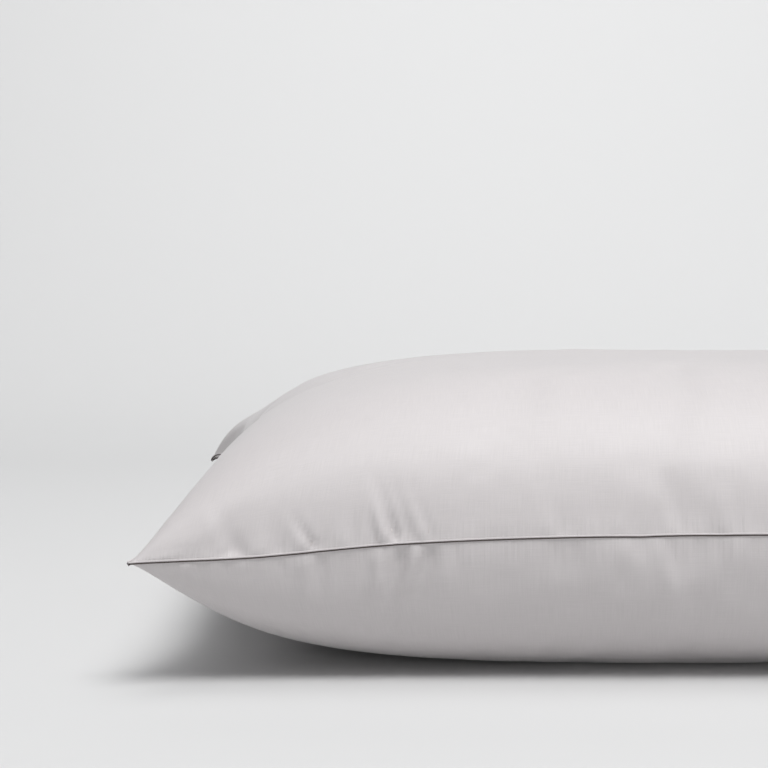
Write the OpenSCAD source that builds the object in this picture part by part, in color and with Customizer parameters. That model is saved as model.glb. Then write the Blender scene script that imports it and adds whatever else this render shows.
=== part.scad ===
// Bed pillow: a sateen housewife pillowcase over a piped, fibre-filled insert.
// It lies flat with its long side along X and the open mouth of the case at +X.
// Every cloth piece is a patch of one warped lattice. Columns run along the length,
// rows across the width, and the lattice lines crowd together towards the seams.

/* [Filled shape] */
// Length of the filled pillow between its corner tips
tip_length = 736; // [613:1:884]
// Width of the filled pillow between its corner tips
tip_width = 486; // [405:1:584]
// Height of the crown above the surface it lies on
crown_height = 179; // [149:1:215]
// Height of the side seams at the middle of each side
seam_height = 88; // [73:1:106]
// Height of the four corner tips
tip_height = 74; // [61:1:90]
// How far filling draws each short side in at its middle
end_draw = 28; // [15:1:34]
// How far filling draws each long side in at its middle
side_draw = 13; // [8:1:20]

/* [Pillowcase] */
// Thickness of one ply of sateen
case_cloth = 0.6; // [0.4:0.05:0.8]
// Depth of the seam allowance inside the case
allowance = 10; // [8:1:14]
// Depth of the turned hem at the mouth
mouth_hem = 50; // [38:1:60]
// Gap between the two mouth hems at mid width
mouth_gap = 3; // [1:0.5:3.5]
// Length of each bartack at the two ends of the mouth
bartack_length = 7; // [5:0.5:9]
// Width of each bartack
bartack_w = 2.5; // [2:0.25:3]
// Length of the tuck flap from the mouth inwards
flap_length = 150; // [120:1:180]
// Depth of the turned hem on the free edge of the flap
flap_hem_depth = 14; // [10:1:20]
// Width of the care label along the front seam
care_label_w = 30; // [20:1:40]
// Length of the care label across the side wall
care_label_l = 42; // [30:1:55]

/* [Insert] */
// Distance from the case seam in to the edge of the insert
insert_inset = 13; // [11:0.5:16]
// Slack between the top of the case and the top of the insert
top_slack = 3.6; // [3.4:0.1:5]
// Thickness of the ticking
ticking_cloth = 0.5; // [0.4:0.05:0.7]
// Radius of the cord inside the piping
cord_r = 1.3; // [1:0.1:1.6]
// Thickness of the bias strip that wraps the piping cord
casing_cloth = 0.4; // [0.3:0.05:0.5]
// Depth of the piping flange caught between the ticking panels
flange_depth = 8; // [6:0.5:10]
// Length of the gap that is closed after filling
closing_length = 200; // [160:1:240]
// Distance between two closing stitches
closing_pitch = 8; // [6:1:12]
// Width of the insert label
insert_label_w = 60; // [40:1:75]
// Length of the insert label
insert_label_l = 32; // [25:1:40]

/* [Thread] */
// Thickness of a line of stitching proud of the cloth
thread_proud = 0.35; // [0.2:0.05:0.4]
// Width of a line of stitching
thread_w = 0.9; // [0.6:0.1:1.2]
// Distance from a folded edge to its line of stitching
stitch_margin = 2; // [1.5:0.5:3]

/* [Hidden] */

// Lattice cells along the length and across the width, and their crowding at the seams
cells_l = 24;
cells_w = 16;
crowd_l = 2.1;
crowd_w = 2.3;
// Exponents of the crowned profile along the length, across the width, and at the seam
profile_l = 4.8;
profile_w = 6.1;
edge_fullness = 0.595;
// Share of the fullness at which the underside meets the surface, and the roundness there
rest_share = 0.9;
belly_round = 1.15;
// How quickly the mouth gap closes away from the middle of the mouth
gape_l = 14;
gape_w = 6;
// Half the thickness of the piping flange, and of the slit between its two plies
flange_half = casing_cloth + 0.1;
slit_half = 0.1;
casing_r = cord_r + casing_cloth;
// Height of the blunt edge of the filling
fill_edge = 6;
clear = 0.1;
TOP = 1;
BOTTOM = -1;

sateen = [0.87, 0.85, 0.84];
sateen_inside = [0.82, 0.79, 0.78];
seam_brown = [0.32, 0.26, 0.24];
cotton_white = [0.95, 0.95, 0.93];

// A layer is [inset in plan, inset from the top, inset from below, lift off the seam, gape]
function case_layer(depth) = [depth, depth, depth, 0, mouth_gap / 2];
function insert_layer(depth) =
    [insert_inset + depth, top_slack + depth, case_cloth + depth, flange_half, 0];
fill_layer = [
    insert_inset + ticking_cloth + flange_depth + clear,
    top_slack + ticking_cloth, case_cloth + ticking_cloth, fill_edge / 2, 0
];

// Position of a lattice line, from -1 to 1
function spread(k, cells, crowd) =
    let (s = 2 * k / cells - 1) sign(s) * (1 - pow(1 - abs(s), crowd));
function fullness(u, v) =
    pow(max(0, (1 - pow(abs(u), profile_l)) * (1 - pow(abs(v), profile_w))), edge_fullness);
function seam_z(u, v) =
    seam_height + (tip_height - seam_height) * pow(abs(u), 2) * pow(abs(v), 4);
function sag(full) = full >= rest_share ? 1 : 1 - pow(1 - full / rest_share, belly_round);
function gape_at(u, v) = pow(max(0, u), gape_l) * (1 - pow(abs(v), gape_w));

// A lattice crossing on one side of a layer
function crossing(side, i, j, layer) =
    let (u = spread(i, cells_l, crowd_l), v = spread(j, cells_w, crowd_w))
    let (full = fullness(u, v))
    let (z0 = seam_z(u, v) + side * (layer[3] + layer[4] * gape_at(u, v)))
    [
        u * (tip_length / 2 - layer[0] - end_draw * (1 - pow(abs(v), 5))),
        v * (tip_width / 2 - layer[0] - side_draw * (1 - pow(abs(u), 4))),
        side == TOP
            ? z0 + (crown_height - seam_height - layer[1] - layer[3]) * full
            : z0 + (layer[2] - z0) * sag(full)
    ];

// Any place on the lattice, whole or part way along a cell
function place(side, i, j, layer) =
    let (i0 = floor(i), i1 = ceil(i), j0 = floor(j), j1 = ceil(j), fi = i - i0, fj = j - j0)
    (1 - fi) * ((1 - fj) * crossing(side, i0, j0, layer) + fj * crossing(side, i0, j1, layer))
    + fi * ((1 - fj) * crossing(side, i1, j0, layer) + fj * crossing(side, i1, j1, layer));

// Lattice lines that a patch needs between two places
function lines(from, to) =
    concat([from], [for (k = [floor(from) + 1 : ceil(to) - 1]) k], [to]);

// Lattice distance that a length of cloth covers along a row of crossings
function walk(row, length, k = 0) =
    let (step = norm(row[k + 1] - row[k]))
    length <= step || k >= len(row) - 2 ? k + length / step : walk(row, length - step, k + 1);
function from_side(side, length) =
    walk([for (j = [0 : cells_w]) crossing(side, cells_l / 2, j, case_layer(0))], length);
function from_end(side, length) =
    walk([for (i = [0 : cells_l]) crossing(side, i, cells_w / 2, case_layer(0))], length);
// The same along the front seam, away from the mouth tip, and up the wall at one column
function from_mouth_tip(length) =
    walk([for (i = [cells_l : -1 : 0]) crossing(TOP, i, 0, case_layer(0))], length);
function up_wall(i, length) =
    walk([for (j = [0 : cells_w]) crossing(TOP, i, j, case_layer(0))], length);
// The same along the front seam towards the mouth, from one column
function along_side(i, length) =
    let (row = [for (k = [i : cells_l]) crossing(TOP, k, 0, case_layer(0))]) i + walk(row, length);

// The faces of a grid of m by n points, each cell cut along the same diagonal
function grid_faces(m, n, start, flip) = [
    for (a = [0 : m - 2], b = [0 : n - 2], half = [0, 1])
        let (p = start + a * n + b)
        let (tri = half == 0 ? [p, p + 1, p + n + 1] : [p, p + n + 1, p + n])
        flip ? [tri[2], tri[1], tri[0]] : tri
];
// The strip of faces that joins two equal lists of point numbers
function strip_faces(first, second, flip) = [
    for (k = [0 : len(first) - 2], half = [0, 1])
        let (tri = half == 0
            ? [first[k], second[k + 1], first[k + 1]]
            : [first[k], second[k], second[k + 1]])
        flip ? [tri[2], tri[1], tri[0]] : tri
];

// The closed solid between two grids of the same size
module between(upper, lower, m, n) {
    count = m * n;
    south = [for (a = [0 : m - 1]) a * n];
    north = [for (a = [0 : m - 1]) a * n + n - 1];
    west = [for (b = [0 : n - 1]) b];
    east = [for (b = [0 : n - 1]) (m - 1) * n + b];
    faces = concat(
        strip_faces(south, [for (k = south) k + count], true),
        strip_faces(north, [for (k = north) k + count], false),
        strip_faces(west, [for (k = west) k + count], false),
        strip_faces(east, [for (k = east) k + count], true),
        grid_faces(m, n, 0, false),
        grid_faces(m, n, count, true)
    );
    polyhedron(points = concat(upper, lower), faces = faces);
}

// A patch of cloth on one side of the pillow, between an outer and an inner layer
module ply(side, columns, rows, outer, inner) {
    i_lines = lines(columns[0], columns[1]);
    j_lines = lines(rows[0], rows[1]);
    upper = side == TOP ? outer : inner;
    lower = side == TOP ? inner : outer;
    between(
        [for (i = i_lines, j = j_lines) place(side, i, j, upper)],
        [for (i = i_lines, j = j_lines) place(side, i, j, lower)],
        len(i_lines), len(j_lines)
    );
}

all_columns = [0, cells_l];
all_rows = [0, cells_w];
allowance_rows = from_side(TOP, allowance);
allowance_columns = from_end(TOP, allowance);
inner_rows = [allowance_rows, cells_w - allowance_rows];

// ---- Pillowcase panels -------------------------------------------------------

module case_panel(side) {
    color(sateen) ply(side, all_columns, all_rows, case_layer(0), case_layer(case_cloth));
}
module case_top_panel() { case_panel(TOP); }
module case_bottom_panel() { case_panel(BOTTOM); }

// ---- Seam allowances, turned up inside the top panel ---------------------------

module allowance_strip(columns, rows) {
    color(sateen_inside)
        ply(TOP, columns, rows, case_layer(case_cloth), case_layer(2 * case_cloth));
}
module front_seam_allowance() { allowance_strip(all_columns, [0, allowance_rows]); }
module back_seam_allowance() { allowance_strip(all_columns, [cells_w - allowance_rows, cells_w]); }
module end_seam_allowance() { allowance_strip([0, allowance_columns], inner_rows); }

// A line of stitching that lies on a layer of the case
module stitch_line(side, columns, rows, depth, inward) {
    outer = inward ? depth : depth - thread_proud;
    color(seam_brown)
        ply(side, columns, rows, case_layer(outer), case_layer(outer + thread_proud));
}
seam_stitch_rows = [from_side(TOP, stitch_margin), from_side(TOP, stitch_margin + thread_w)];
seam_stitch_columns = [from_end(TOP, stitch_margin), from_end(TOP, stitch_margin + thread_w)];
module front_seam_thread() {
    stitch_line(TOP, all_columns, seam_stitch_rows, 2 * case_cloth, true);
}
module back_seam_thread() {
    rows = [cells_w - seam_stitch_rows[1], cells_w - seam_stitch_rows[0]];
    stitch_line(TOP, all_columns, rows, 2 * case_cloth, true);
}
module end_seam_thread() {
    stitch_line(TOP, seam_stitch_columns, inner_rows, 2 * case_cloth, true);
}

// ---- Mouth: turned hems, their stitching and the bartacks at its corners -------

module mouth_hem_ply(side) {
    color(sateen_inside)
        ply(side, [cells_l - from_end(side, mouth_hem), cells_l], inner_rows,
            case_layer(case_cloth), case_layer(2 * case_cloth));
}
module mouth_hem_top() { mouth_hem_ply(TOP); }
module mouth_hem_bottom() { mouth_hem_ply(BOTTOM); }

module mouth_hem_stitching(side) {
    near = mouth_hem - stitch_margin;
    columns = [cells_l - from_end(side, near), cells_l - from_end(side, near - thread_w)];
    stitch_line(side, columns, inner_rows, 0, false);
}
module mouth_hem_thread_top() { mouth_hem_stitching(TOP); }
module mouth_hem_thread_bottom() { mouth_hem_stitching(BOTTOM); }

module mouth_bartacks() {
    far = from_mouth_tip(stitch_margin + bartack_length);
    columns = [cells_l - far, cells_l - from_mouth_tip(stitch_margin)];
    up = up_wall(cells_l - 1, bartack_w);
    for (rows = [[0, up], [cells_w - up, cells_w]]) stitch_line(TOP, columns, rows, 0, false);
}

// ---- Tuck flap, folded in at the mouth over the end of the insert --------------

flap_depth = 2 * case_cloth + thread_proud + clear;
flap_start = cells_l - from_end(TOP, flap_length);
module tuck_flap() {
    color(sateen_inside)
        ply(TOP, [flap_start, cells_l], all_rows,
            case_layer(flap_depth), case_layer(flap_depth + case_cloth));
}
module flap_hem() {
    color(sateen_inside)
        ply(TOP, [flap_start, cells_l - from_end(TOP, flap_length - flap_hem_depth)], inner_rows,
            case_layer(flap_depth + case_cloth), case_layer(flap_depth + 2 * case_cloth));
}
module flap_hem_thread() {
    far = flap_length - flap_hem_depth + stitch_margin;
    columns = [cells_l - from_end(TOP, far + thread_w), cells_l - from_end(TOP, far)];
    stitch_line(TOP, columns, inner_rows, flap_depth + 2 * case_cloth, true);
}

// ---- Care label, caught in the front seam near the mouth -----------------------

module care_label() {
    start = cells_l - 6;
    color(cotton_white)
        ply(BOTTOM, [start, along_side(start, care_label_w)],
            [0, from_side(BOTTOM, care_label_l)],
            case_layer(case_cloth), case_layer(case_cloth + 0.4));
}

// ---- Insert: ticking, piping, filling and label --------------------------------

module ticking_panel(side) {
    color(cotton_white)
        ply(side, all_columns, all_rows, insert_layer(0), insert_layer(ticking_cloth));
}
module ticking_top_panel() { ticking_panel(TOP); }
module ticking_bottom_panel() { ticking_panel(BOTTOM); }

// Stations around the edge of the lattice, anticlockwise from the front end corner
edge_stations = concat(
    [for (i = [0 : cells_l]) [i, 0]],
    [for (j = [1 : cells_w]) [cells_l, j]],
    [for (i = [cells_l - 1 : -1 : 0]) [i, cells_w]],
    [for (j = [cells_w - 1 : -1 : 1]) [0, j]]
);
// A section of [outward, upward] points, carried round the edge of the insert
module around_edge(section) {
    n = len(section);
    m = len(edge_stations);
    points = [
        for (s = edge_stations, p = section)
            crossing(TOP, s[0], s[1], [insert_inset - p[0], 0, 0, 0, 0]) + [0, 0, p[1]]
    ];
    faces = [
        for (a = [0 : m - 1], b = [0 : n - 1], half = [0, 1])
            let (p = a * n + b, q = a * n + (b + 1) % n)
            let (r = ((a + 1) % m) * n + b, s = ((a + 1) % m) * n + (b + 1) % n)
            half == 0 ? [p, s, q] : [p, r, s]
    ];
    polyhedron(points = points, faces = faces);
}
function ring(r, angles) = [for (t = angles) [casing_r + r * cos(t), r * sin(t)]];
casing_angles = [for (t = [-135 : 45 : 135]) t];
module piping_casing() {
    outer = ring(casing_r, casing_angles);
    inner = [for (k = [len(casing_angles) - 1 : -1 : 0]) ring(cord_r, casing_angles)[k]];
    color(cotton_white) around_edge(concat(
        [[-flange_depth, -flange_half], [0, -flange_half]], outer,
        [[0, flange_half], [-flange_depth, flange_half], [-flange_depth, slit_half], [0, slit_half]],
        inner, [[0, -slit_half], [-flange_depth, -slit_half]]
    ));
}
module piping_cord() {
    color([0.9, 0.88, 0.82]) around_edge(ring(cord_r, [for (t = [-180 : 45 : 135]) t]));
}

// Stitching on the ticking, just inside the piping on all four sides
module insert_stitch(side, columns, rows) {
    color([0.88, 0.87, 0.84])
        ply(side, columns, rows, insert_layer(-thread_proud), insert_layer(0));
}
module ticking_seam_thread() {
    near = from_side(TOP, 1.2);
    far = from_side(TOP, 1.2 + thread_w);
    near_end = from_end(TOP, 1.2);
    far_end = from_end(TOP, 1.2 + thread_w);
    insert_stitch(TOP, all_columns, [near, far]);
    insert_stitch(TOP, all_columns, [cells_w - far, cells_w - near]);
    insert_stitch(TOP, [near_end, far_end], [far, cells_w - far]);
    insert_stitch(TOP, [cells_l - far_end, cells_l - near_end], [far, cells_w - far]);
}

// Whip stitches that close the filling gap in the end of the insert
closing_count = floor(closing_length / closing_pitch);
module closing_stitches() {
    rows_per_mm = 1 / norm(crossing(TOP, 0, cells_w / 2 + 1, insert_layer(0))
        - crossing(TOP, 0, cells_w / 2, insert_layer(0)));
    columns = [from_end(TOP, 3), from_end(TOP, 7)];
    for (k = [0 : closing_count - 1]) {
        middle = cells_w / 2 + (k + 0.5 - closing_count / 2) * closing_pitch * rows_per_mm;
        half = thread_w / 2 * rows_per_mm;
        insert_stitch(TOP, columns, [middle - half, middle + half]);
    }
}

module fibre_fill() {
    i_lines = lines(0, cells_l);
    j_lines = lines(0, cells_w);
    color([0.97, 0.97, 0.96]) between(
        [for (i = i_lines, j = j_lines) crossing(TOP, i, j, fill_layer)],
        [for (i = i_lines, j = j_lines) crossing(BOTTOM, i, j, fill_layer)],
        len(i_lines), len(j_lines)
    );
}

module insert_label() {
    start = 6;
    color(cotton_white)
        ply(TOP, [start, along_side(start, insert_label_w)],
            [from_side(TOP, 6), from_side(TOP, 6 + insert_label_l)],
            insert_layer(-0.4), insert_layer(0));
}

case_top_panel();
case_bottom_panel();
front_seam_allowance();
back_seam_allowance();
end_seam_allowance();
front_seam_thread();
back_seam_thread();
end_seam_thread();
mouth_hem_top();
mouth_hem_bottom();
mouth_hem_thread_top();
mouth_hem_thread_bottom();
tuck_flap();
flap_hem();
flap_hem_thread();
mouth_bartacks();
care_label();
ticking_top_panel();
ticking_bottom_panel();
piping_casing();
piping_cord();
ticking_seam_thread();
closing_stitches();
fibre_fill();
insert_label();
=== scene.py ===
import math
import random

import bpy
import numpy as np
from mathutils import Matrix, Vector


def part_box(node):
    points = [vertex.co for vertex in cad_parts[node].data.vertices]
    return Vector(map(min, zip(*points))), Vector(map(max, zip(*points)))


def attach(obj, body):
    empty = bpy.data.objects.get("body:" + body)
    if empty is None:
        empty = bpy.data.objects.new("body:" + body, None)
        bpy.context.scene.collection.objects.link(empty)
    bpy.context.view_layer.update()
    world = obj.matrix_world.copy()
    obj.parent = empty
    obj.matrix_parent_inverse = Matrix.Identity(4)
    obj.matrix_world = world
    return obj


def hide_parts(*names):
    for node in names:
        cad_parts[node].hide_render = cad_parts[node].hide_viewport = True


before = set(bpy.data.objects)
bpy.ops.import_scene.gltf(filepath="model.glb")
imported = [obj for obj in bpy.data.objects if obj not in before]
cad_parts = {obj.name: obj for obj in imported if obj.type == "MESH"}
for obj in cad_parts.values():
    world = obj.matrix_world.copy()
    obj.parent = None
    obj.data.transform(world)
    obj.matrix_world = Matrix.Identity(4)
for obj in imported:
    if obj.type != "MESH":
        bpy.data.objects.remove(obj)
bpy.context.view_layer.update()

# ---- Pillowcase panels -------------------------------------------------------------
# Two panels of pale cotton sateen, sewn on three sides and plumped by the insert.
# Each is cut flat. The filling crowns it, draws the seams in between the tips and
# leaves the cloth a little loose, so it creases and puckers where it meets a seam.

TOP, BOTTOM = 1, -1
tip_low, tip_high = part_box("case_top_panel")
half_length = tip_high.x
half_width = 0.243
crown_height = tip_high.z
tip_height = tip_low.z
seam_height = 0.088
end_draw = 0.028
side_draw = 0.013
mouth_gap = 0.003
gape_along, gape_across = 14, 6
profile_along = {TOP: 4.8, BOTTOM: 3.9}
profile_across, edge_fullness = 6.1, 0.595
rest_share, belly_round = 0.97, 1.45
sateen_ply = 0.0006


def crowned(side, u, v, inset=0.0, slack=0.0, lift=0.0, ground=0.0, gape=0.0):
    """Points on the filled shape. u and v run from -1 to 1 between the seams."""
    full = np.clip((1 - abs(u) ** profile_along[side]) * (1 - abs(v) ** profile_across), 0, 1)
    full = full ** edge_fullness
    open_by = gape / 2 * np.clip(u, 0, 1) ** gape_along * (1 - abs(v) ** gape_across)
    seam = seam_height + (tip_height - seam_height) * abs(u) ** 2 * abs(v) ** 4
    base = seam + side * (lift + open_by)
    x = u * (half_length - inset - end_draw * (1 - abs(v) ** 5))
    y = v * (half_width - inset - side_draw * (1 - abs(u) ** 4))
    if side == TOP:
        z = base + (crown_height - seam_height - slack - lift) * full
    else:
        share = 1 - np.clip(1 - full / rest_share, 0, 1) ** belly_round
        z = base + (ground - base) * share
    return np.stack([x, y, z], axis=-1)


def run_length(points):
    return np.linalg.norm(np.diff(points, axis=0), axis=1).sum()


def even_steps(curve):
    """A function from an even share of the cloth's length, -1 to 1, to the curve's own step."""
    step = np.linspace(-1, 1, 4001)
    run = np.linalg.norm(np.diff(curve(step), axis=0), axis=1)
    reach = np.concatenate([[0], np.cumsum(run)])
    length = reach[-1]
    return lambda share: np.interp((share + 1) / 2 * length, reach, step), length


column_at, cut_length = even_steps(lambda k: crowned(TOP, k, 0 * k))
row_at, cut_width = even_steps(lambda k: crowned(TOP, 0 * k, k))


def only(*pieces):
    """Selects these objects alone, with the first one active."""
    bpy.ops.object.select_all(action="DESELECT")
    for piece in pieces:
        piece.select_set(True)
    bpy.context.view_layer.objects.active = pieces[0]


def edit(piece, *steps):
    """Runs edit-mode operators, each with its settings, on the whole of a piece."""
    only(piece)
    bpy.ops.object.mode_set(mode="EDIT")
    for operator, settings in steps:
        bpy.ops.mesh.select_all(action="SELECT")
        operator(**settings)
    bpy.ops.object.mode_set(mode="OBJECT")


def close_and_face_out(piece, gap=1e-6):
    edit(
        piece,
        (bpy.ops.mesh.remove_doubles, {"threshold": gap}),
        (bpy.ops.mesh.normals_make_consistent, {"inside": False}),
    )


def finish_with(piece, kind, **settings):
    """Adds a modifier with its settings and applies it."""
    only(piece)
    step = piece.modifiers.new(kind.lower(), kind)
    for setting, value in settings.items():
        setattr(step, setting, value)
    bpy.ops.object.modifier_apply(modifier=step.name)


def join(piece, *others):
    only(piece, *others)
    bpy.ops.object.join()


def soften(piece):
    only(piece)
    bpy.ops.object.shade_smooth()


def vertex_values(piece, name, kind="vector"):
    flat = np.empty(len(piece.data.vertices) * 3)
    piece.data.attributes[name].data.foreach_get(kind, flat)
    return flat.reshape(-1, 3)


def coordinates(piece):
    return vertex_values(piece, "position")


def normals_of(piece):
    flat = np.empty(len(piece.data.vertices) * 3)
    piece.data.vertices.foreach_get("normal", flat)
    return flat.reshape(-1, 3)


def move_to(piece, points):
    piece.data.vertices.foreach_set("co", points.ravel())
    piece.data.update()


def grid_piece(name, columns, rows, place, side=TOP):
    """A grid laid out by place(s, t), with s and t from -1 to 1 kept as its share."""
    bpy.ops.object.select_all(action="DESELECT")
    bpy.ops.mesh.primitive_grid_add(x_subdivisions=columns, y_subdivisions=rows, size=2)
    piece = bpy.context.object
    piece.name = piece.data.name = name
    st = coordinates(piece)
    share = piece.data.attributes.new("share", "FLOAT_VECTOR", "POINT")
    move_to(piece, place(st[:, 0], st[:, 1]))
    st[:, 2] = side
    share.data.foreach_set("vector", st.ravel())
    if side == BOTTOM:
        edit(piece, (bpy.ops.mesh.flip_normals, {}))
    soften(piece)
    return piece


def shares(piece):
    return vertex_values(piece, "share").round(5)


sewn_columns, sewn_rows = 76, 54


def settle(side, s, t):
    return crowned(side, column_at(s), row_at(t))


case_top = grid_piece(
    "case_top_panel_cloth", sewn_columns, sewn_rows, lambda s, t: settle(TOP, s, t), TOP
)
case_bottom = grid_piece(
    "case_bottom_panel_cloth", sewn_columns, sewn_rows, lambda s, t: settle(BOTTOM, s, t), BOTTOM
)

# The sewn panels are simulated as one bag of cloth, cut flat with a little ease and held
# up by the filling. Only the creases of the result are kept, each point within the cap.
cut_ease = 1.012
filling_pressure = 3.0
simulated_steps = 24
crease_cap = 0.004
drift_passes = 50


def flat_cut(share):
    """Where each point lies in the flat cut: mid lines and edges keep their lengths."""
    line = np.linspace(-1, 1, 401)
    knots = np.linspace(-1, 1, 41)
    flat = np.zeros_like(share)
    for side in (TOP, BOTTOM):
        along = [run_length(settle(side, line, 0 * line + k)) for k in knots]
        across = [run_length(settle(side, 0 * line + k, line)) for k in knots]
        here = share[:, 2] == side
        s, t = share[here, 0], share[here, 1]
        flat[here, 0] = s / 2 * np.interp(t, knots, along)
        flat[here, 1] = t / 2 * np.interp(s, knots, across)
    flat *= cut_ease
    return flat


def without_drift(piece, moves):
    """Takes the broad part of the movement away, and limits what is left."""
    pairs = np.empty(len(piece.data.edges) * 2, dtype=np.int32)
    piece.data.edges.foreach_get("vertices", pairs)
    first, second = pairs.reshape(-1, 2).T
    count = np.bincount(pairs, minlength=len(moves))[:, None]
    broad = moves
    for _ in range(drift_passes):
        total = np.zeros_like(broad)
        np.add.at(total, first, broad[second])
        np.add.at(total, second, broad[first])
        broad = (broad + total / count) / 2
    crease = moves - broad
    size = np.linalg.norm(crease, axis=1, keepdims=True) + 1e-9
    return crease * crease_cap * np.tanh(size / crease_cap) / size


def simulated_creases():
    """The move of each point of the sewn case, keyed by its share."""
    only(case_top, case_bottom)
    bpy.ops.object.duplicate()
    bag = bpy.context.object
    bpy.ops.object.join()
    close_and_face_out(bag, 1e-5)
    share = shares(bag)
    start = coordinates(bag)
    bag.shape_key_add(name="filled")
    cut = bag.shape_key_add(name="cut")
    cut.data.foreach_set("co", flat_cut(share).ravel())
    cut.value = 0
    bpy.ops.mesh.primitive_plane_add(size=3)
    table = bpy.context.object
    table.modifiers.new("collision", "COLLISION")
    table.collision.thickness_outer = 0.001
    table.collision.cloth_friction = 30
    cloth = bag.modifiers.new("cloth", "CLOTH")
    settings = cloth.settings
    settings.rest_shape_key = cut
    settings.quality = 6
    settings.mass = 0.15 / len(start)
    settings.tension_stiffness = 60
    settings.compression_stiffness = 60
    settings.shear_stiffness = 10
    settings.bending_stiffness = 0.05
    settings.bending_damping = 0.5
    settings.air_damping = 5
    settings.use_pressure = True
    settings.uniform_pressure_force = filling_pressure
    cloth.collision_settings.distance_min = 0.001
    cloth.point_cache.frame_end = simulated_steps + 1
    for step in range(1, simulated_steps + 1):
        bpy.context.scene.frame_set(step)
    held = bag.evaluated_get(bpy.context.evaluated_depsgraph_get())
    flat = np.empty(len(start) * 3)
    held.data.vertices.foreach_get("co", flat)
    moves = without_drift(bag, flat.reshape(-1, 3) - start)
    for used in (bag, table):
        bpy.data.objects.remove(used)
    bpy.context.scene.frame_set(1)
    return {tuple(key): move for key, move in zip(share, moves)}


def settle_creases(pieces):
    moved = simulated_creases()
    for piece in pieces:
        share = shares(piece)
        moves = np.zeros_like(share)
        for number, (s, t, side) in enumerate(share):
            move = moved.get((s, t, side))
            moves[number] = moved[(s, t, -side)] if move is None else move
        move_to(piece, coordinates(piece) + moves)


settle_creases((case_top, case_bottom))

for piece in (case_top, case_bottom):
    finish_with(
        piece, "SUBSURF", levels=2, render_levels=2, boundary_smooth="PRESERVE_CORNERS"
    )
    soften(piece)


def skin_of(piece):
    """A piece's points and normals as a table over its even shares."""
    share = shares(piece)
    order = np.lexsort((share[:, 1], share[:, 0]))
    rows = len(np.unique(share[:, 1]))
    return [table[order].reshape(-1, rows, 3) for table in (coordinates(piece), normals_of(piece))]


def between(table, s, t):
    """A smooth reading of the table at any shares."""
    i = np.clip((s + 1) / 2, 0, 1) * (table.shape[0] - 1)
    j = np.clip((t + 1) / 2, 0, 1) * (table.shape[1] - 1)
    low_i = np.minimum(i.astype(int), table.shape[0] - 2)
    low_j = np.minimum(j.astype(int), table.shape[1] - 2)
    i, j = (i - low_i)[..., None], (j - low_j)[..., None]
    near = table[low_i, low_j] * (1 - j) + table[low_i, low_j + 1] * j
    far = table[low_i + 1, low_j] * (1 - j) + table[low_i + 1, low_j + 1] * j
    return near * (1 - i) + far * i


def on_skin(skin, s, t, depth=0.0):
    """Points on a settled skin, depth metres in from its outer face."""
    s, t = np.broadcast_arrays(np.asarray(s, float), np.asarray(t, float))
    normal = between(skin[1], s, t)
    normal /= np.linalg.norm(normal, axis=-1, keepdims=True)
    return between(skin[0], s, t) - depth * normal


# The broad lie of the case, which everything inside it follows
settled = {TOP: skin_of(case_top), BOTTOM: skin_of(case_bottom)}

# Folds at the front seam: place along the seam, run, width, depth and lean
upper_folds = [
    (-0.3300, 0.034, 0.0100, 0.0012, 0.75),
    (-0.2620, 0.015, 0.0026, 0.0040, -0.55),
    (-0.2680, 0.010, 0.0020, 0.0014, -0.50),
    (-0.2340, 0.022, 0.0022, 0.0014, 0.10),
    (-0.2275, 0.011, 0.0018, 0.0020, -0.20),
    (-0.2165, 0.023, 0.0034, 0.0044, -0.26),
    (-0.2080, 0.028, 0.0026, 0.0015, -0.30),
    (-0.1960, 0.020, 0.0024, 0.0015, -0.34),
]
lower_folds = [
    (-0.2580, 0.030, 0.0040, 0.0020, -0.10),
    (-0.2220, 0.018, 0.0028, 0.0022, -0.10),
    (-0.2120, 0.044, 0.0046, 0.0036, -0.28),
    (-0.1960, 0.050, 0.0050, 0.0038, -0.36),
    (-0.0400, 0.060, 0.0080, 0.0018, -0.12),
    (-0.0560, 0.070, 0.0080, 0.0010, -0.50),
    (-0.0740, 0.070, 0.0080, 0.0009, -0.60),
]


pucker_width = (0.0022, 0.0052)
# The stitching holds the cloth flat this far from a seam
seam_hold = 0.0035


def gathers(seed, reach, count, deepest, middle=0.0):
    """Small puckers at random places along a seam, in the same form as the folds."""
    chance = random.Random(seed)
    made = []
    for _ in range(count):
        width = chance.uniform(*pucker_width)
        run = width * chance.uniform(2.5, 7.0)
        depth = deepest * chance.uniform(0.25, 1.0) * width / pucker_width[1]
        place = middle + chance.uniform(-reach, reach)
        made.append((place, run, width, depth, chance.uniform(-0.4, 0.4)))
    return made


def fold_depth(along, from_seam, folds):
    """How far the cloth moves out at each point. A fold is a groove with a ridge beside it."""
    out = np.zeros_like(along)
    for place, run, width, depth, lean in folds:
        across = (along - place - lean * from_seam) / width
        fade = np.exp(-((from_seam / run) ** 2)) * (1 - np.exp(-((from_seam / seam_hold) ** 2)))
        groove = -np.exp(-(across**2)) + 0.7 * np.exp(-((across + 1.9) ** 2))
        out += depth * fade * groove
    return out


seam_folds = {
    TOP: {
        "front": upper_folds + gathers(11, 0.33, 60, 0.0011) + gathers(15, 0.045, 16, 0.0012, -0.285),
        "back": gathers(12, 0.33, 70, 0.0022),
        "end": gathers(13, 0.21, 44, 0.0020),
        "mouth": gathers(14, 0.21, 16, 0.0008),
    },
    BOTTOM: {
        "front": lower_folds + gathers(21, 0.33, 50, 0.0011),
        "back": gathers(22, 0.33, 70, 0.0020),
        "end": gathers(23, 0.21, 44, 0.0018),
        "mouth": gathers(24, 0.21, 16, 0.0008),
    },
}
# The back corner at the closed end swells up a little, and the front seam hangs slack
# beside its own corner.
swell_height = 0.017
swell_place, swell_reach = (-0.92, 0.86), (0.13, 0.20)
slack_place, slack_run, slack_drop, slack_reach = -0.300, 0.060, 0.0032, 0.035
mouth_sharpness = 60
floor_clearance = 0.0003


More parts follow.
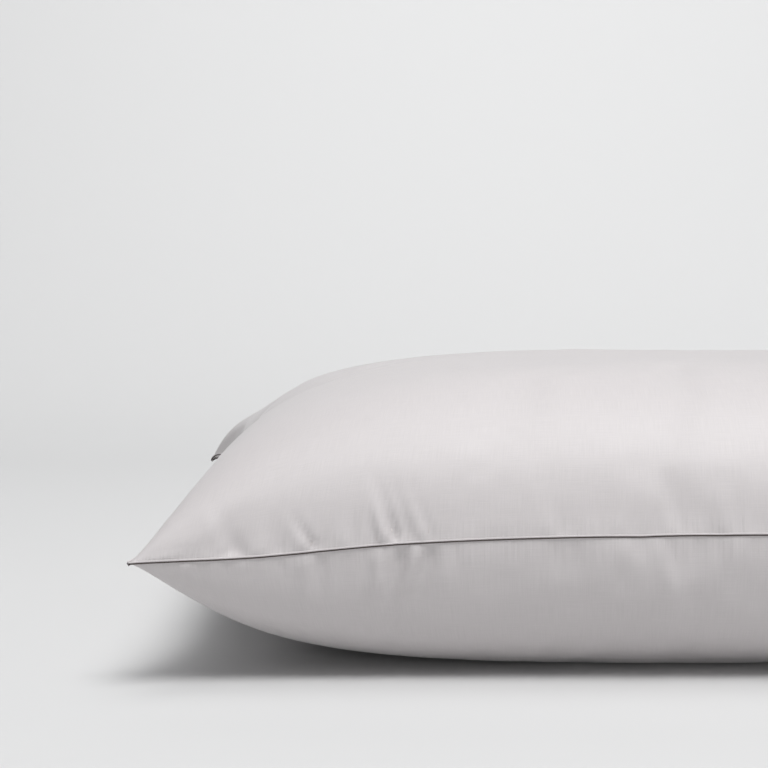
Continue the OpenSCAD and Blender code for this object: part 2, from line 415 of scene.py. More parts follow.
def swell_at(s, t):
    """How far the raised corner lifts both panels and what lies between them."""
    away = ((s - swell_place[0]) / swell_reach[0]) ** 2 + ((t - swell_place[1]) / swell_reach[1]) ** 2
    return swell_height * np.exp(-away)


def dress(piece, side):
    """Adds the seam folds, the raised corner and the open mouth to a panel."""
    share = shares(piece)
    s, t = share[:, 0], share[:, 1]
    points = coordinates(piece)
    folds = seam_folds[side]
    out = fold_depth(points[:, 0], (1 + t) / 2 * cut_width, folds["front"])
    out += fold_depth(points[:, 0], (1 - t) / 2 * cut_width, folds["back"])
    out += fold_depth(points[:, 1], (1 + s) / 2 * cut_length, folds["end"])
    out += fold_depth(points[:, 1], (1 - s) / 2 * cut_length, folds["mouth"])
    points += normals_of(piece) * out[:, None]
    points[:, 2] += side * mouth_gap / 2 * np.clip(s, 0, 1) ** mouth_sharpness * (1 - abs(t) ** gape_across)
    points[:, 2] += swell_at(s, t)
    slack = np.exp(-(((points[:, 0] - slack_place) / slack_run) ** 2))
    points[:, 2] -= slack_drop * slack * np.exp(-(((1 + t) / 2 * cut_width / slack_reach) ** 2))
    points[:, 2] = np.maximum(points[:, 2], floor_clearance)
    move_to(piece, points)


dress(case_top, TOP)
dress(case_bottom, BOTTOM)
skin = {TOP: skin_of(case_top), BOTTOM: skin_of(case_bottom)}


def tube(name, path, facing, radius, rings, sides=8):
    """A closed tube along path(s), pointed at its ends. facing(s) is its outward side."""

    def place(s, t):
        step = 1e-3
        middle = path(s)
        ahead = path(np.clip(s + step, -1, 1)) - path(np.clip(s - step, -1, 1))
        ahead /= np.linalg.norm(ahead, axis=-1, keepdims=True)
        out = facing(s)
        out = out - (out * ahead).sum(-1, keepdims=True) * ahead
        out /= np.linalg.norm(out, axis=-1, keepdims=True)
        up = np.cross(ahead, out)
        turn = (np.pi * t)[:, None]
        thick = radius * np.sqrt(np.clip((1 - abs(s)) * rings / 2, 0, 1))[:, None]
        return middle + thick * (np.cos(turn) * out + np.sin(turn) * up)

    piece = grid_piece(name, rings, sides, place)
    close_and_face_out(piece, 2e-5)
    return piece


# Shares of the four edges of the case, each as a function of its own run from -1 to 1
edges = {
    "front": lambda k: (k, 0 * k - 1),
    "back": lambda k: (k, 0 * k + 1),
    "end": lambda k: (0 * k - 1, k),
    "mouth": lambda k: (0 * k + 1, k),
}
edge_length = {
    "front": run_length(on_skin(skin[TOP], np.linspace(-1, 1, 301), -1)),
    "end": run_length(on_skin(skin[TOP], -1, np.linspace(-1, 1, 301))),
}
edge_length.update(back=edge_length["front"], mouth=edge_length["end"])


def edge_out(edge, k):
    """The way out from an edge: between the outward sides of both panels."""
    s, t = edges[edge](k)
    both = between(skin[TOP][1], s, t) + between(skin[BOTTOM][1], s, t)
    return both / np.linalg.norm(both, axis=-1, keepdims=True)


edge_reach = 0.994


def beside_edge(edge, k, side, out, up):
    """A point beside an edge, short of its tips, moved out from the case and up along Z."""
    s, t = edges[edge](edge_reach * k)
    lifted = np.array([0, 0, up])
    return on_skin(skin[side], s, t) + out * edge_out(edge, k) + lifted


roll_radius = 0.0006
roll_rings = {"front": 240, "back": 240, "end": 160, "mouth": 160}


def rolled_edge(edge, side, out, up):
    """The rounded turn of the cloth along an edge of the case."""
    return tube(
        f"{edge}_roll", lambda k: beside_edge(edge, k, side, out, up),
        lambda k: edge_out(edge, k), roll_radius, roll_rings[edge],
    )


# The top panel rolls over the three seams, and both panels turn in at the mouth
for edge in ("front", "back", "end"):
    join(case_top, rolled_edge(edge, TOP, 0.0001, 0.0006))
join(case_top, rolled_edge("mouth", TOP, -0.0004, 0.0001))
join(case_bottom, rolled_edge("mouth", BOTTOM, -0.0004, -0.0001))


def cut_map(piece, length, width):
    """A UV map in metres over the cut, so that weave and puckers follow the cloth."""
    layer = piece.data.uv_layers.get("cut") or piece.data.uv_layers.new(name="cut")
    loops = np.empty(len(piece.data.loops), dtype=np.int32)
    piece.data.loops.foreach_get("vertex_index", loops)
    metres = shares(piece)[:, :2] * np.array([length / 2, width / 2])
    layer.data.foreach_set("uv", metres[loops].ravel())
    piece.data.uv_layers.active = layer


def material(name):
    made = bpy.data.materials.new(name)
    made.use_nodes = True
    return made, made.node_tree.nodes, made.node_tree.links


def math_node(nodes, links, operation, *values):
    """A Math node whose inputs are numbers or other nodes' outputs."""
    node = nodes.new("ShaderNodeMath")
    node.operation = operation
    for number, value in enumerate(values):
        if isinstance(value, (int, float)):
            node.inputs[number].default_value = value
        else:
            links.new(value, node.inputs[number])
    return node.outputs[0]


def streaks(nodes, links, source, scale, detail=3.0):
    """Noise drawn out along one way of the cloth, as slubs in a yarn."""
    stretch = nodes.new("ShaderNodeMapping")
    stretch.inputs["Scale"].default_value = scale
    slub = nodes.new("ShaderNodeTexNoise")
    slub.inputs["Scale"].default_value = 1.0
    slub.inputs["Detail"].default_value = detail
    links.new(source, stretch.inputs["Vector"])
    links.new(stretch.outputs["Vector"], slub.inputs["Vector"])
    return slub.outputs["Fac"]


def tinted(nodes, links, colour, value, low, high):
    """The colour made darker or lighter by a value from about 0.35 to 0.65."""
    tone = nodes.new("ShaderNodeMapRange")
    tone.inputs["From Min"].default_value = 0.35
    tone.inputs["From Max"].default_value = 0.65
    tone.inputs["To Min"].default_value = low
    tone.inputs["To Max"].default_value = high
    links.new(value, tone.inputs["Value"])
    mix = nodes.new("ShaderNodeVectorMath")
    mix.operation = "SCALE"
    mix.inputs[0].default_value = colour
    links.new(tone.outputs["Result"], mix.inputs["Scale"])
    return mix.outputs["Vector"]


def raised(nodes, links, shader, height, distance, strength=1.0):
    bump = nodes.new("ShaderNodeBump")
    bump.inputs["Strength"].default_value = strength
    bump.inputs["Distance"].default_value = distance
    links.new(height, bump.inputs["Height"])
    links.new(bump.outputs["Normal"], shader.inputs["Normal"])


# The ribs fade in over this band, measured in from a long seam
rib_start, rib_full = 0.016, 0.004


def sateen(name, colour, roughness, sheen, ribs):
    """Satin weave: fine warp and weft slubs, a soft sheen, and ribs beside the seams."""
    made, nodes, links = material(name)
    shader = nodes["Principled BSDF"]
    shader.inputs["Roughness"].default_value = roughness
    shader.inputs["Sheen Weight"].default_value = sheen
    shader.inputs["Sheen Roughness"].default_value = 0.4
    cut = nodes.new("ShaderNodeUVMap")
    cut.uv_map = "cut"
    cloth = cut.outputs["UV"]
    warp = streaks(nodes, links, cloth, (2200.0, 60.0, 1.0))
    weft = streaks(nodes, links, cloth, (60.0, 2600.0, 1.0))
    weave = math_node(nodes, links, "MULTIPLY_ADD", weft, 0.5, 0.0)
    weave = math_node(nodes, links, "MULTIPLY_ADD", warp, 0.5, weave)
    links.new(tinted(nodes, links, colour, weave, 0.955, 1.035), shader.inputs["Base Color"])
    height = math_node(nodes, links, "MULTIPLY", weave, 0.25)
    if ribs:
        rib = streaks(nodes, links, cloth, (330.0, 14.0, 1.0), 1.0)
        place = nodes.new("ShaderNodeSeparateXYZ")
        links.new(cloth, place.inputs["Vector"])
        from_middle = math_node(nodes, links, "ABSOLUTE", place.outputs["Y"])
        near = nodes.new("ShaderNodeMapRange")
        near.interpolation_type = "SMOOTHSTEP"
        near.inputs["From Min"].default_value = cut_width / 2 - rib_start
        near.inputs["From Max"].default_value = cut_width / 2 - rib_full
        links.new(from_middle, near.inputs["Value"])
        rib = math_node(nodes, links, "MULTIPLY", rib, near.outputs["Result"])
        height = math_node(nodes, links, "MULTIPLY_ADD", rib, 1.6, height)
    raised(nodes, links, shader, height, 0.0004)
    return made


def paint(piece, finish):
    piece.data.materials.clear()
    piece.data.materials.append(finish)


def place_piece(piece, finish, slot, *nodes):
    """Every piece moves with the one body, and stands for its own node."""
    paint(piece, finish)
    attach(piece, "root")
    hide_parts(*nodes)


case_sateen = sateen("case_sateen", (0.590, 0.560, 0.562), 0.52, 0.3, True)
for piece, node in ((case_top, "case_top_panel"), (case_bottom, "case_bottom_panel")):
    cut_map(piece, cut_length, cut_width)
    place_piece(piece, case_sateen, "sateen", node)

# ---- Seam allowances ---------------------------------------------------------------
# The raw edges of the two panels, pressed up inside the top panel along three seams.
# They are the cloth's own matte reverse, 10 mm deep, and lie against its inner face.

sateen_reverse = sateen("sateen_reverse", (0.56, 0.525, 0.52), 0.75, 0.1, False)
allowance = 0.010
allowance_depth = 1.5 * sateen_ply


def share_across(distance):
    return 2 * distance / cut_width


def share_along(distance):
    return 2 * distance / cut_length


def cloth_strip(name, source, side, along, across, depth, ply, cells):
    """A thin closed strip of cloth that lies on a skin, between shares along and across it."""

    def place(s, t):
        s_here = along[0] + (s + 1) / 2 * (along[1] - along[0])
        t_here = across[0] + (t + 1) / 2 * (across[1] - across[0])
        return on_skin(source[side], s_here, t_here, depth)

    strip = grid_piece(name, *cells, place, side)
    finish_with(strip, "SOLIDIFY", thickness=ply, offset=0.0)
    close_and_face_out(strip)
    cut_map(strip, (along[1] - along[0]) / 2 * cut_length, (across[1] - across[0]) / 2 * cut_width)
    return strip


all_run = (-0.998, 0.998)
folded_up = share_across(allowance)
end_folded_up = share_along(allowance)
inner_run = (-1 + folded_up, 1 - folded_up)
allowance_strips = {
    "front": (all_run, (-0.999, -1 + folded_up), (240, 4)),
    "back": (all_run, (1 - folded_up, 0.999), (240, 4)),
    "end": ((-0.999, -1 + end_folded_up), inner_run, (4, 150)),
}
for seam, (along, across, cells) in allowance_strips.items():
    strip = cloth_strip(
        f"{seam}_seam_allowance_cloth", skin, TOP, along, across, allowance_depth, sateen_ply, cells
    )
    place_piece(strip, sateen_reverse, "sateen_inside", f"{seam}_seam_allowance")

# ---- Seam stitching ----------------------------------------------------------------
# Dark brown spun thread. A row of lockstitches runs on the allowance. In the crease between
# the two panels lies one fine continuous tube of the thread colour, a dark line that is
# painted shade of the crease together with the thread.


def spun_thread(name, colour):
    made, nodes, links = material(name)
    shader = nodes["Principled BSDF"]
    shader.inputs["Roughness"].default_value = 0.7
    shader.inputs["Sheen Weight"].default_value = 0.2
    here = nodes.new("ShaderNodeTexCoord").outputs["Object"]
    ply = streaks(nodes, links, here, (2600.0, 2600.0, 2600.0))
    links.new(tinted(nodes, links, colour, ply, 0.7, 1.25), shader.inputs["Base Color"])
    raised(nodes, links, shader, ply, 0.0001)
    return made


# Dark brown thread colour. On the crease line it is also painted shade of the crease.
dark_thread_and_crease_shade = spun_thread("dark_thread_and_crease_shade", (0.045, 0.030, 0.026))
stitch_length = 0.0032
thread_radius = 0.00022
# Radius of the dark crease line, which paints the crease's shade together with the thread
crease_shade_radius = 0.00045


def stitch_row(name, lie, length, pitch=stitch_length, radius=thread_radius):
    """A row of stitches along lie(k, rise), with k from 0 to 1 over its length."""
    curve = bpy.data.curves.new(name, "CURVE")
    curve.dimensions = "3D"
    curve.bevel_depth = radius
    curve.bevel_resolution = 1
    curve.use_fill_caps = True
    count = int(length / pitch)
    for number in range(count):
        k = (number + np.array([0.06, 0.3, 0.7, 0.94])) / count
        rise = np.array([-0.6, 1.0, 1.0, -0.6]) * radius
        points = lie(k, rise)
        stitch = curve.splines.new("POLY")
        stitch.points.add(3)
        for point, (x, y, z) in zip(stitch.points, points):
            point.co = (x, y, z, 1)
    row = bpy.data.objects.new(name, curve)
    bpy.context.scene.collection.objects.link(row)
    only(row)
    bpy.ops.object.convert(target="MESH")
    close_and_face_out(row)
    soften(row)
    return row


def line_on(source, side, along, across, depth):
    """The lie of a stitch row from one pair of shares to another on a skin."""

    def lie(k, rise):
        s = along[0] + k * (along[1] - along[0])
        t = across[0] + k * (across[1] - across[0])
        return on_skin(source[side], s, t, depth) + rise[:, None] * row_side(source, side, s, t)

    return lie


def row_side(source, side, s, t):
    normal = between(source[side][1], s, t)
    return normal / np.linalg.norm(normal, axis=-1, keepdims=True)


stitch_margin = 0.002
margin = share_across(stitch_margin)
end_margin = share_along(stitch_margin)
on_allowance = 2 * sateen_ply + thread_radius
seam_lines = {
    "front": (all_run, (-1 + margin, -1 + margin)),
    "back": (all_run, (1 - margin, 1 - margin)),
    "end": ((-1 + end_margin, -1 + end_margin), inner_run),
}
for seam, (along, across) in seam_lines.items():
    # The crease line: a dark tube of thread colour, painted crease shade as well as the thread
    crease = tube(
        f"{seam}_seam_thread_and_shade_line", lambda k: beside_edge(seam, k, TOP, 0.0003, -0.0002),
        lambda k: edge_out(seam, k), crease_shade_radius, roll_rings[seam],
    )
    inner = stitch_row(
        f"{seam}_seam_lockstitch", line_on(skin, TOP, along, across, on_allowance),
        edge_length[seam],
    )
    join(crease, inner)
    place_piece(crease, dark_thread_and_crease_shade, "seam_thread", f"{seam}_seam_thread")

# ---- Mouth of the case: hems, their stitching and the bartacks ----------------------
# At the open end each panel turns in 50 mm and is topstitched with greige thread. A
# dense bartack at each corner of the mouth stops the side seams from opening.

greige_thread = spun_thread("greige_thread", (0.52, 0.485, 0.47))
mouth_hem = 0.050
hem_start = 1 - share_along(mouth_hem)
hem_line = 1 - share_along(mouth_hem - stitch_margin)
for side, word in ((TOP, "top"), (BOTTOM, "bottom")):
    hem = cloth_strip(
        f"mouth_hem_{word}_cloth", skin, side, (hem_start, 0.999), inner_run,
        allowance_depth, sateen_ply, (20, 150),
    )
    place_piece(hem, sateen_reverse, "sateen_inside", f"mouth_hem_{word}")
    row = stitch_row(
        f"mouth_hem_thread_{word}_stitches",
        line_on(skin, side, (hem_line, hem_line), inner_run, 0.0), cut_width,
    )
    place_piece(row, greige_thread, "hem_thread", f"mouth_hem_thread_{word}")

bartack_length = 0.007
bartack_width = 0.0025
bartack_turns = 12


def bartack(name, across):
    """Satin stitches side by side over the seam, at one corner of the mouth."""
    far = share_along(stitch_margin + bartack_length)
    near = share_along(stitch_margin)
    width = share_across(bartack_width)
    pieces = []
    for turn in range(bartack_turns):
        s = 1 - near - (turn + 0.5) / bartack_turns * (far - near)
        inward = (across, across - math.copysign(width, across))
        pieces.append(
            stitch_row(name, line_on(skin, TOP, (s, s), inward, 0.0), bartack_width,
                       pitch=bartack_width, radius=0.0003)
        )
    join(*pieces)
    return pieces[0]


bartacks = bartack("mouth_bartacks_stitches", -1 + 1e-3)
join(bartacks, bartack("bartack_back", 1 - 1e-3))
place_piece(bartacks, greige_thread, "hem_thread", "mouth_bartacks")

# ---- Tuck flap ---------------------------------------------------------------------
# A 150 mm flap of the same sateen, folded in at the mouth over the end of the insert.
# Its free edge has a narrow turned hem with one row of stitching.

flap_length = 0.150
flap_hem_depth = 0.014
flap_layer = 3.3 * sateen_ply
flap_reach = 0.985
flap_run = (1 - share_along(flap_length), 0.998)
flap = cloth_strip(
    "tuck_flap_cloth", skin, TOP, flap_run, (-flap_reach, flap_reach), flap_layer, sateen_ply, (60, 200)
)
place_piece(flap, sateen_reverse, "sateen_inside", "tuck_flap")
flap_hem_run = (flap_run[0], flap_run[0] + share_along(flap_hem_depth))
flap_hem = cloth_strip(
    "flap_hem_cloth", skin, TOP, flap_hem_run, inner_run, flap_layer + sateen_ply, sateen_ply, (6, 200)
)
place_piece(flap_hem, sateen_reverse, "sateen_inside", "flap_hem")
flap_line = flap_hem_run[1] - share_along(stitch_margin)
flap_row = stitch_row(
    "flap_hem_thread_stitches",
    line_on(skin, TOP, (flap_line, flap_line), inner_run, flap_layer + 1.5 * sateen_ply + thread_radius),
    cut_width,
)
place_piece(flap_row, greige_thread, "hem_thread", "flap_hem_thread")

# ---- Care label --------------------------------------------------------------------
# A blank woven tape, caught in the front seam near the mouth and lying inside the case.


def woven_tape(name, colour):
    made, nodes, links = material(name)
    shader = nodes["Principled BSDF"]
    shader.inputs["Roughness"].default_value = 0.6
    cut = nodes.new("ShaderNodeUVMap")
    cut.uv_map = "cut"
    rib = streaks(nodes, links, cut.outputs["UV"], (90.0, 3200.0, 1.0))
    links.new(tinted(nodes, links, colour, rib, 0.92, 1.03), shader.inputs["Base Color"])
    raised(nodes, links, shader, rib, 0.0002)
    return made


white_tape = woven_tape("white_tape", (0.83, 0.83, 0.80))
tape_ply = 0.0004
tape_gap = 0.0002
care_label_depth = 0.042


def share_at(source, side, across, x):
    """The share along a skin's row at which it reaches x."""
    line = np.linspace(-1, 1, 601)
    return float(np.interp(x, on_skin(source[side], line, across)[:, 0], line))


label_low, label_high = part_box("care_label")
label_run = (share_at(skin, BOTTOM, -1, label_low.x), share_at(skin, BOTTOM, -1, label_high.x))
care_label = cloth_strip(
    "care_label_tape", skin, BOTTOM, label_run, (-0.999, -1 + share_across(care_label_depth)),
    sateen_ply + tape_ply / 2 + tape_gap, tape_ply, (14, 20),
)
place_piece(care_label, white_tape, "label_tape", "care_label")

# ---- Ticking -----------------------------------------------------------------------
# The insert's own cover: two panels of close white cotton, smaller than the case. They
# are sewn all round into the piping, so the cloth puckers a little along that seam.

insert_inset = 0.013
top_slack = 0.0036
ticking_ply = 0.0005
flange_half = 0.0005
ticking_ground = 0.0004
ticking_low = 0.0008


def follow(side, s, t):
    """How far the settled case lies from its filled shape, for what is inside it."""
    return on_skin(settled[side], s, t) - settle(side, s, t)


def insert_swell(s, t):
    """The raised corner's lift on the insert, whose edges lie within those of the case."""
    return swell_at(s * (1 - share_along(insert_inset)), t * (1 - share_across(insert_inset)))


def insert_shape(side, s, t):
    points = crowned(
        side, column_at(s), row_at(t), inset=insert_inset, slack=top_slack,
        lift=flange_half, ground=sateen_ply + ticking_ground,
    )
    points = points + follow(side, s, t) * (1 - abs(s) ** 6)[:, None] * (1 - abs(t) ** 6)[:, None]
    points[:, 2] += insert_swell(s, t)
    points[:, 2] = np.maximum(points[:, 2], sateen_ply + ticking_low)
    return points


def plain_weave(name, colour):
    made, nodes, links = material(name)
    shader = nodes["Principled BSDF"]
    shader.inputs["Roughness"].default_value = 0.85
    shader.inputs["Sheen Weight"].default_value = 0.15
    cut = nodes.new("ShaderNodeUVMap")
    cut.uv_map = "cut"
    warp = streaks(nodes, links, cut.outputs["UV"], (1500.0, 120.0, 1.0))
    weft = streaks(nodes, links, cut.outputs["UV"], (120.0, 1500.0, 1.0))
    weave = math_node(nodes, links, "MAXIMUM", warp, weft)
    links.new(tinted(nodes, links, colour, weave, 0.94, 1.03), shader.inputs["Base Color"])
    raised(nodes, links, shader, weave, 0.0002)
    return made


white_ticking = plain_weave("white_ticking", (0.80, 0.80, 0.77))
insert_skin = {}
for side, word, seed in ((TOP, "top", 31), (BOTTOM, "bottom", 41)):
    ticking = grid_piece(
        f"ticking_{word}_panel_cloth", 190, 140, lambda s, t: insert_shape(side, s, t), side
    )
    share = shares(ticking)
    points = coordinates(ticking)
    puckers = (
        (points[:, 0], (1 + share[:, 1]) / 2 * cut_width, gathers(seed, 0.34, 90, 0.0014)),
        (points[:, 0], (1 - share[:, 1]) / 2 * cut_width, gathers(seed + 1, 0.34, 90, 0.0014)),
        (points[:, 1], (1 + share[:, 0]) / 2 * cut_length, gathers(seed + 2, 0.22, 60, 0.0014)),
        (points[:, 1], (1 - share[:, 0]) / 2 * cut_length, gathers(seed + 3, 0.22, 60, 0.0014)),
    )
    out = sum(fold_depth(along, from_seam, folds) for along, from_seam, folds in puckers)
    points += normals_of(ticking) * out[:, None]
    points[:, 2] = np.maximum(points[:, 2], sateen_ply + ticking_low)
    move_to(ticking, points)
    insert_skin[side] = skin_of(ticking)
    finish_with(ticking, "SOLIDIFY", thickness=ticking_ply, offset=-1.0)
    close_and_face_out(ticking)
    cut_map(ticking, cut_length, cut_width)
    place_piece(ticking, white_ticking, "ticking", f"ticking_{word}_panel")

# ---- Piping ------------------------------------------------------------------------
# A bias strip of ticking wrapped round a twisted cotton cord. Its flange is caught
# between the two ticking panels all round the insert.

casing_radius = 0.0017
flange_depth = 0.008
flange_ply = 0.0008
piping_length = 2.35
corner_turn = 9
round_insert = np.concatenate([
    np.stack([np.linspace(-1, 1, 240, endpoint=False), -np.ones(240)], 1),
    np.stack([np.ones(160), np.linspace(-1, 1, 160, endpoint=False)], 1),
    np.stack([np.linspace(1, -1, 240, endpoint=False), np.ones(240)], 1),
    np.stack([-np.ones(160), np.linspace(1, -1, 160, endpoint=False)], 1),
])


def insert_edge(inset):
    """The closed line round the insert, with its corners turned on a small radius."""
    u = column_at(round_insert[:, 0])
    v = row_at(round_insert[:, 1])
    line = crowned(TOP, u, v, inset=inset)
    line[:, 2] += insert_swell(round_insert[:, 0], round_insert[:, 1])
    for _ in range(corner_turn):
        line = (np.roll(line, 1, 0) + 2 * line + np.roll(line, -1, 0)) / 4
    return line


def ring_at(line, k):
    """The point a share k, from 0 to 1, of the way round a closed line."""
    places = (k % 1) * len(line)
    low = np.floor(places).astype(int) % len(line)
    part = (places - np.floor(places))[:, None]
    return line[low] * (1 - part) + line[(low + 1) % len(line)] * part


piping_line = insert_edge(insert_inset - casing_radius)
flange_line = insert_edge(insert_inset + flange_depth)


def round_piping(name, radius, rings, sides, offset=0.0, turns=0, start=0.0):
    """A closed ring of tube round the insert. With turns it winds about the middle line."""

    def place(s, t):
        k = (s + 1) / 2
        ahead = ring_at(piping_line, k + 5e-4) - ring_at(piping_line, k - 5e-4)
        ahead /= np.linalg.norm(ahead, axis=1, keepdims=True)
        out = np.cross(ahead, [0, 0, 1])
        out /= np.linalg.norm(out, axis=1, keepdims=True)
        up = np.cross(out, ahead)
        wind = (2 * np.pi * (turns * k + start))[:, None]
        turn = (np.pi * t)[:, None]
        middle = ring_at(piping_line, k) + offset * (np.cos(wind) * out + np.sin(wind) * up)
        return middle + radius * (np.cos(turn) * out + np.sin(turn) * up)

    ring = grid_piece(name, rings, sides, place)
    close_and_face_out(ring, 1e-5)
    cut_map(ring, piping_length, 2 * math.pi * radius)
    return ring


casing = round_piping("piping_casing_cloth", casing_radius, 900, 12)
flange = grid_piece(
    "piping_flange", 900, 3,
    lambda s, t: ring_at(piping_line, (s + 1) / 2) * (1 - t)[:, None] / 2
    + ring_at(flange_line, (s + 1) / 2) * (1 + t)[:, None] / 2,
)
finish_with(flange, "SOLIDIFY", thickness=flange_ply, offset=0.0)
close_and_face_out(flange, 1e-5)
cut_map(flange, piping_length, flange_depth)
join(casing, flange)
place_piece(casing, white_ticking, "ticking", "piping_casing")

cord_twist = 150
strand_radius = 0.00058
strand_offset = 0.00066
strand_rings, strand_sides = 1500, 6


def strand(name, start):
    return round_piping(
        name, strand_radius, strand_rings, strand_sides, strand_offset, cord_twist, start
    )


cord = strand("piping_cord_strands", 0.0)
for start in (1 / 3, 2 / 3):
    join(cord, strand("cord_strand", start))
cotton_cord = spun_thread("cotton_cord", (0.74, 0.70, 0.60))
place_piece(cord, cotton_cord, "cotton_cord", "piping_cord")

# ---- Stitching of the insert -------------------------------------------------------
# White cotton thread: a row of stitches just inside the piping on all four sides, and
# hand whip stitches that close the 200 mm gap that the filling went in through.

cotton_thread = spun_thread("cotton_thread", (0.70, 0.69, 0.64))
beside_piping = 0.0016
near_piping = share_across(beside_piping)
near_piping_end = share_along(beside_piping)
insert_rows = [
    (all_run, (-1 + near_piping, -1 + near_piping), edge_length["front"]),
    (all_run, (1 - near_piping, 1 - near_piping), edge_length["front"]),
    ((-1 + near_piping_end, -1 + near_piping_end), all_run, edge_length["end"]),
    ((1 - near_piping_end, 1 - near_piping_end), all_run, edge_length["end"]),
]
rows_sewn = [
    stitch_row("ticking_seam_stitches", line_on(insert_skin, TOP, along, across, 0.0), length)
    for along, across, length in insert_rows
]
join(*rows_sewn)
place_piece(rows_sewn[0], cotton_thread, "cotton_thread", "ticking_seam_thread")

closing_length = 0.200
closing_pitch = 0.008
closing_count = int(closing_length / closing_pitch)
whips = []
for number in range(closing_count):
    middle = share_across((number + 0.5 - closing_count / 2) * closing_pitch)
    slant = share_across(0.0015)
    run = (-1 + share_along(0.003), -1 + share_along(0.007))
    lie = line_on(insert_skin, TOP, run, (middle - slant, middle + slant), 0.0)
    whips.append(stitch_row("closing_stitches_whip", lie, 0.004, pitch=0.004, radius=0.0003))
join(*whips)
place_piece(whips[0], cotton_thread, "cotton_thread", "closing_stitches")

# ---- Insert label ------------------------------------------------------------------
# A blank woven tape sewn to the top ticking beside the front piping.

tag_low, tag_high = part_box("insert_label")
tag_run = (share_at(insert_skin, TOP, -1, tag_low.x), share_at(insert_skin, TOP, -1, tag_high.x))
tag_rows = (-1 + share_across(0.006), -1 + share_across(0.038))
insert_tag = cloth_strip(
    "insert_label_tape", insert_skin, TOP, tag_run, tag_rows, -tape_ply / 2 - tape_gap, tape_ply, (24, 16)
)
place_piece(insert_tag, white_tape, "label_tape", "insert_label")

# ---- Fibre filling -----------------------------------------------------------------
# Loose siliconised fibre that fills the ticking. Its face is soft and clumped, a little
# smaller than the cover, and flat only where the pillow lies on its underside.

fill_inset = 0.0216
fill_slack = 0.0016
fill_lift = 0.003
fill_ground = 0.0012
clump_size = 0.03
clump_depth = 0.0016


def fill_shape(side, s, t):
    points = crowned(
        side, column_at(s), row_at(t), inset=fill_inset, slack=top_slack + fill_slack,
        lift=fill_lift, ground=sateen_ply + ticking_ply + fill_ground,
    )
    points = points + follow(side, s, t) * (1 - abs(s) ** 6)[:, None] * (1 - abs(t) ** 6)[:, None]
    points[:, 2] += insert_swell(s, t)
    points[:, 2] = np.maximum(points[:, 2], sateen_ply + ticking_ply + fill_ground)
    return points


fill = grid_piece("fibre_fill_mass", 120, 90, lambda s, t: fill_shape(TOP, s, t), TOP)
under = grid_piece("fill_under", 120, 90, lambda s, t: fill_shape(BOTTOM, s, t), BOTTOM)
join(fill, under)
only(fill)
bpy.ops.object.mode_set(mode="EDIT")
bpy.ops.mesh.select_mode(type="EDGE")
bpy.ops.mesh.select_all(action="DESELECT")
bpy.ops.mesh.select_non_manifold(extend=False)
bpy.ops.mesh.bridge_edge_loops()
bpy.ops.object.mode_set(mode="OBJECT")
close_and_face_out(fill)
clumps = bpy.data.textures.new("clumps", "CLOUDS")
clumps.noise_scale = clump_size
finish_with(fill, "DISPLACE", texture=clumps, strength=-clump_depth, mid_level=0.0)
soften(fill)


def loose_fibre(name, colour):
    made, nodes, links = material(name)
    shader = nodes["Principled BSDF"]
    shader.inputs["Roughness"].default_value = 1.0
    shader.inputs["Sheen Weight"].default_value = 0.4
    here = nodes.new("ShaderNodeTexCoord").outputs["Object"]
    strands = streaks(nodes, links, here, (260.0, 900.0, 500.0), 8.0)
    links.new(tinted(nodes, links, colour, strands, 0.88, 1.03), shader.inputs["Base Color"])
    raised(nodes, links, shader, strands, 0.002)
    return made


white_fibre = loose_fibre("white_fibre", (0.88, 0.88, 0.87))
place_piece(fill, white_fibre, "fibre", "fibre_fill")

# ---- Floor, light and camera -------------------------------------------------------
# A pale seamless sweep, a soft key light high in front, a wide light overhead, a weak
# fill in front, one light on the backdrop, and a low camera.

world_strength = 0.20
key_power = 200
overhead_power = 62
fill_power = 16
backdrop_power = 34
bpy.context.scene.view_settings.view_transform = "Standard"

bpy.ops.object.select_all(action="DESELECT")
bpy.ops.mesh.primitive_plane_add(size=1)
floor = bpy.context.object
floor.name = "floor"
sweep_low, sweep_far, sweep_height = -9.0, 3.2, 4.0
sweep_width, sweep_bend = 16.0, 1.6
floor_grey = 0.64
for vertex in floor.data.vertices:
    vertex.co.x *= sweep_width
    vertex.co.y = sweep_low if vertex.co.y < 0 else sweep_far
for edge in floor.data.edges:
    edge.select = False
for face in floor.data.polygons:
    face.select = False
for vertex in floor.data.vertices:
    vertex.select = vertex.co.y > 0
for edge in floor.data.edges:
    edge.select = all(floor.data.vertices[k].co.y > 0 for k in edge.vertices)
bpy.ops.object.mode_set(mode="EDIT")
bpy.ops.mesh.select_mode(type="EDGE")
bpy.ops.mesh.extrude_region_move(TRANSFORM_OT_translate={"value": (0, 0, sweep_height)})
bpy.ops.mesh.select_all(action="DESELECT")
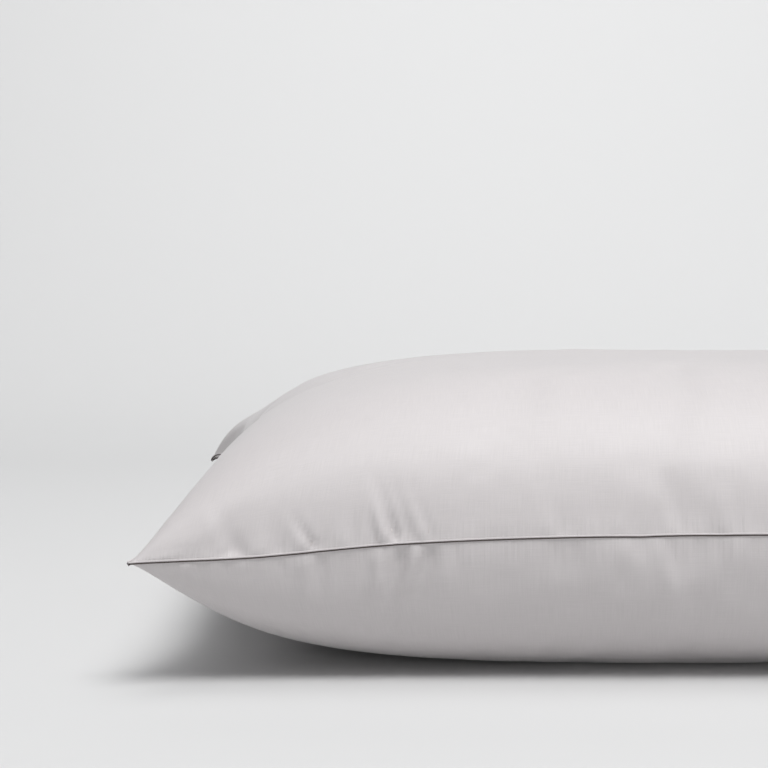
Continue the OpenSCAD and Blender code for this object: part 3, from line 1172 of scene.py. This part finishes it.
bpy.ops.object.mode_set(mode="OBJECT")
for edge in floor.data.edges:
    ends = [floor.data.vertices[k].co for k in edge.vertices]
    edge.select = all(end.y > 0 and end.z < 0.1 for end in ends)
bpy.ops.object.mode_set(mode="EDIT")
bpy.ops.mesh.bevel(offset=sweep_bend, segments=24)
bpy.ops.object.mode_set(mode="OBJECT")
soften(floor)
floor_paint, nodes, links = material("floor_paint")
nodes["Principled BSDF"].inputs["Base Color"].default_value = (floor_grey, floor_grey, floor_grey, 1)
nodes["Principled BSDF"].inputs["Roughness"].default_value = 0.9
floor.data.materials.append(floor_paint)

world = bpy.data.worlds.new("studio")
bpy.context.scene.world = world
world.use_nodes = True
world.node_tree.nodes["Background"].inputs["Color"].default_value = (0.95, 0.97, 1.0, 1)
world.node_tree.nodes["Background"].inputs["Strength"].default_value = world_strength


def soft_light(name, size, power, place, aim):
    lamp = bpy.data.lights.new(name, "AREA")
    lamp.shape = "RECTANGLE"
    lamp.size, lamp.size_y = size
    lamp.energy = power
    light = bpy.data.objects.new(name, lamp)
    bpy.context.scene.collection.objects.link(light)
    light.location = place
    light.rotation_euler = (Vector(aim) - Vector(place)).to_track_quat("-Z", "Y").to_euler()
    return light


soft_light("key", (2.6, 2.0), key_power, (0.9, -2.0, 4.6), (-0.1, 0.0, 0.0))
soft_light("front_fill", (3.0, 1.2), fill_power, (0.2, -4.0, 0.9), (0.0, 0.0, 0.1))
soft_light("overhead", (3.0, 3.0), overhead_power, (0.2, 0.4, 4.5), (0.0, 0.2, 0.0))
soft_light("backdrop", (4.0, 1.5), backdrop_power, (0.0, 1.0, 2.4), (0.0, 4.0, 2.4))

camera_place = (-0.224, -1.220, 0.2332)
camera_dip = 3.4
camera_data = bpy.data.cameras.new("camera")
camera = bpy.data.objects.new("camera", camera_data)
bpy.context.scene.collection.objects.link(camera)
camera_data.sensor_width = 36
camera_data.lens = 82.0
camera.location = camera_place
camera.rotation_euler = (math.radians(90 - camera_dip), 0, 0)
bpy.context.scene.camera = camera
